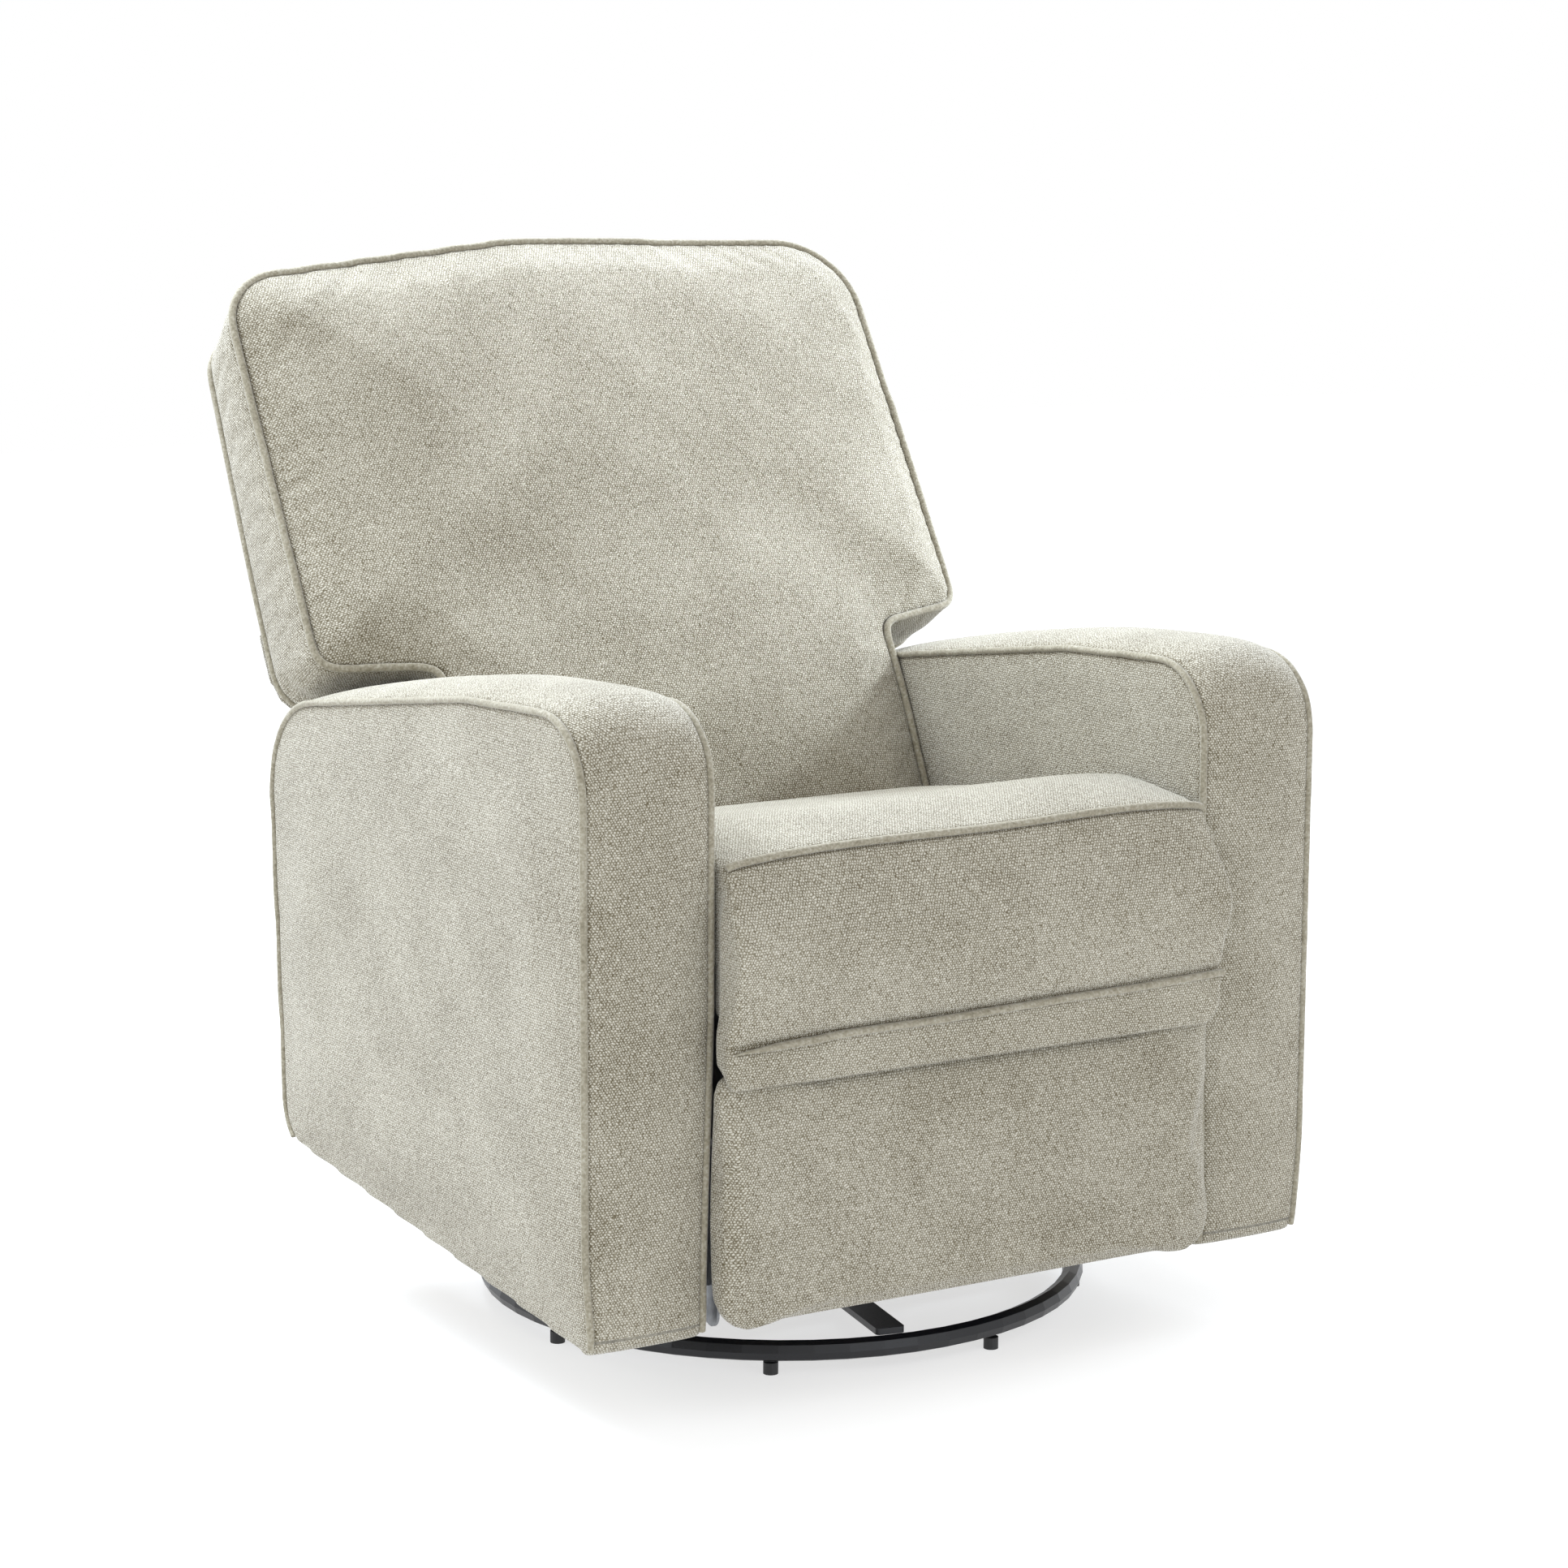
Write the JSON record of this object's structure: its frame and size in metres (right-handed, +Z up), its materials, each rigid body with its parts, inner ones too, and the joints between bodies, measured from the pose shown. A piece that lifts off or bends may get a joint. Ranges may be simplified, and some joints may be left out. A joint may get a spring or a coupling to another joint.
{
  "type": "glider nursery chair",
  "caption": "Upholstered swivel glider armchair on a steel ring base, with a reclining T-shaped back and a folding leg rest under the seat.",
  "frame": {"origin": "on the floor, at the middle of the chair's footprint; the swivel axis is 100 mm in front of it", "axes": "+Z up, -Y the way the seat faces, X across the chair"},
  "size_m": [0.78, 0.9126, 0.9989],
  "materials": {
    "woven_upholstery": "sand-coloured brushed woven upholstery with self piping",
    "powder_coated_steel": "satin black powder coat",
    "mechanism_steel": "dark zinc and lacquer on pressed steel",
    "spring_steel": "drawn spring wire",
    "frame_wood": "plain plywood and softwood",
    "glide_foot": "black moulded plastic"
  },
  "bodies": {
    "base": {"base_ring": "powder_coated_steel", "base_spider": "powder_coated_steel", "base_foot_1": "glide_foot", "base_foot_2": "glide_foot", "base_foot_3": "glide_foot", "base_foot_4": "glide_foot", "base_foot_5": "glide_foot", "base_foot_6": "glide_foot", "base_foot_7": "glide_foot", "base_foot_8": "glide_foot", "swivel_lower_plate": "mechanism_steel"},
    "turntable": {"swivel_upper_plate": "mechanism_steel", "turntable_plate": "powder_coated_steel", "glide_bracket_left": "powder_coated_steel", "glide_bracket_right": "powder_coated_steel"},
    "front_glide_links": {"glide_link_front_left": "mechanism_steel", "glide_link_front_right": "mechanism_steel"},
    "rear_glide_links": {"glide_link_rear_left": "mechanism_steel", "glide_link_rear_right": "mechanism_steel"},
    "chassis": {"glide_rail_left": "powder_coated_steel", "glide_rail_right": "powder_coated_steel", "cross_tube_front": "powder_coated_steel", "cross_tube_rear": "powder_coated_steel", "recliner_side_plate_left": "mechanism_steel", "recliner_side_plate_right": "mechanism_steel", "arm_bolt_front_left": "mechanism_steel", "arm_bolt_front_right": "mechanism_steel", "arm_bolt_rear_left": "mechanism_steel", "arm_bolt_rear_right": "mechanism_steel", "arm_panel_left": "frame_wood", "arm_panel_right": "frame_wood", "arm_pad_left": "woven_upholstery", "arm_pad_right": "woven_upholstery", "seat_front_rail": "frame_wood", "seat_rear_rail": "frame_wood", "seat_spring_1": "spring_steel", "seat_spring_2": "spring_steel", "seat_spring_3": "spring_steel", "seat_spring_4": "spring_steel", "seat_cushion": "woven_upholstery"},
    "back": {"back_cushion": "woven_upholstery", "back_post_left": "frame_wood", "back_post_right": "frame_wood", "back_hinge_bracket_left": "mechanism_steel", "back_hinge_bracket_right": "mechanism_steel", "back_bottom_rail": "frame_wood", "back_top_board": "frame_wood", "outer_back": "woven_upholstery"},
    "legrest_drive": {"legrest_drive_link_left": "mechanism_steel", "legrest_drive_link_right": "mechanism_steel", "legrest_drive_tube": "mechanism_steel"},
    "legrest_tong": {"legrest_tong_link_left": "mechanism_steel", "legrest_tong_link_right": "mechanism_steel"},
    "legrest_control": {"legrest_control_link_left": "mechanism_steel", "legrest_control_link_right": "mechanism_steel"},
    "legrest_panel": {"legrest_panel_bracket_left": "mechanism_steel", "legrest_panel_bracket_right": "mechanism_steel", "legrest_board": "frame_wood", "legrest_pad": "woven_upholstery"}
  },
  "joints": [
    {"name": "swivel", "type": "hinge", "parent": "base", "child": "turntable", "pos_m": [0, -0.1, 0.045], "axis": [0, 0, 1], "continuous": true},
    {"name": "glide", "type": "hinge", "parent": "turntable", "child": "front_glide_links", "pos_m": [0, -0.22, 0.225], "axis": [1, 0, 0], "range_deg": [-18, 18]},
    {"name": "glide_rear_link", "type": "hinge", "parent": "turntable", "child": "rear_glide_links", "pos_m": [0, 0.02, 0.225], "axis": [1, 0, 0], "range_deg": [-18, 18]},
    {"name": "glide_chassis", "type": "hinge", "parent": "front_glide_links", "child": "chassis", "pos_m": [0, -0.22, 0.095], "axis": [1, 0, 0], "range_deg": [-18, 18]},
    {"name": "recline", "type": "hinge", "parent": "chassis", "child": "back", "pos_m": [0, 0.05, 0.33], "axis": [-1, 0, 0], "range_deg": [0, 22]},
    {"name": "legrest", "type": "hinge", "parent": "chassis", "child": "legrest_drive", "pos_m": [0, -0.368, 0.272], "axis": [-1, 0, 0], "range_deg": [0, 100]},
    {"name": "legrest_knee", "type": "hinge", "parent": "legrest_drive", "child": "legrest_tong", "pos_m": [0, -0.34789, 0.10823], "axis": [-1, 0, 0], "range_deg": [-155, 0]},
    {"name": "legrest_panel_tilt", "type": "hinge", "parent": "legrest_tong", "child": "legrest_panel", "pos_m": [0, -0.35922, 0.23774], "axis": [-1, 0, 0], "range_deg": [0, 145]},
    {"name": "legrest_control_swing", "type": "hinge", "parent": "chassis", "child": "legrest_control", "pos_m": [0, -0.3354, 0.2332], "axis": [-1, 0, 0], "range_deg": [0, 97]}
  ],
  "couplings": [
    {"joint": "glide_rear_link", "follows": "glide", "ratio": 1},
    {"joint": "glide_chassis", "follows": "glide", "ratio": -1},
    {"joint": "legrest_knee", "follows": "legrest", "ratio": -1.55},
    {"joint": "legrest_panel_tilt", "follows": "legrest", "ratio": 1.45},
    {"joint": "legrest_control_swing", "follows": "legrest", "ratio": 0.9644}
  ]
}
